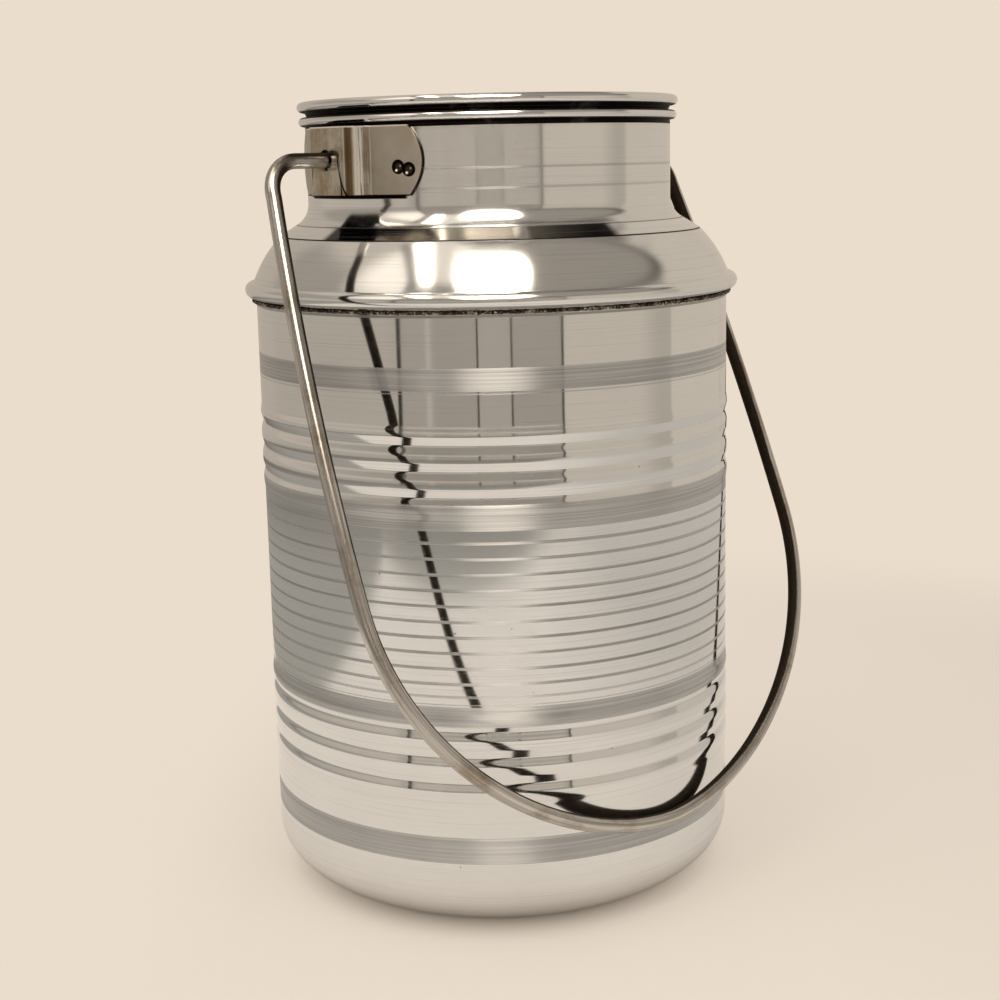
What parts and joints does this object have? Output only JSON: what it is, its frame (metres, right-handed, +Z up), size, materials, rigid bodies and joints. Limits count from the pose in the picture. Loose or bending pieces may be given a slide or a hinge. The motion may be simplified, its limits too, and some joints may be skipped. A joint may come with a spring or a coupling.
{
  "type": "milk can",
  "caption": "Round stainless steel milk can with rolled ribs, sloped shoulder, narrow neck, recessed plug lid and a swinging wire bail.",
  "frame": {"origin": "centre of the flat base, on the floor", "axes": "+Z up along the can's axis; X along the bail's pivot axis; the bail leans on the -Y side"},
  "size_m": [0.2096, 0.173, 0.2739],
  "materials": {
    "body_steel": "mirror polished stainless sheet with satin turned bands and fine lines",
    "shoulder_steel": "mirror polished spun stainless sheet",
    "weld_metal": "rough dark weld run",
    "ear_steel": "heat tinted stainless strap",
    "bail_wire": "drawn stainless wire",
    "lid_steel": "polished pressed stainless sheet",
    "grip_steel": "brushed stainless strap"
  },
  "bodies": {
    "can": {"body_shell": "body_steel", "shoulder_neck": "shoulder_steel", "seam_weld": "weld_metal", "ear_left": "ear_steel", "ear_right": "ear_steel"},
    "bail": {"bail_handle": "bail_wire"},
    "lid": {"lid_pan": "lid_steel", "lid_grip": "grip_steel"}
  },
  "joints": [
    {"name": "bail_swing", "type": "hinge", "parent": "can", "child": "bail", "pos_m": [0, 0, 0.2544], "axis": [-1, 0, 0], "range_deg": [0, 317]},
    {"name": "lid_lift", "type": "slide", "parent": "can", "child": "lid", "axis": [0, 0, 1], "range_m": [0, 0.04]}
  ]
}
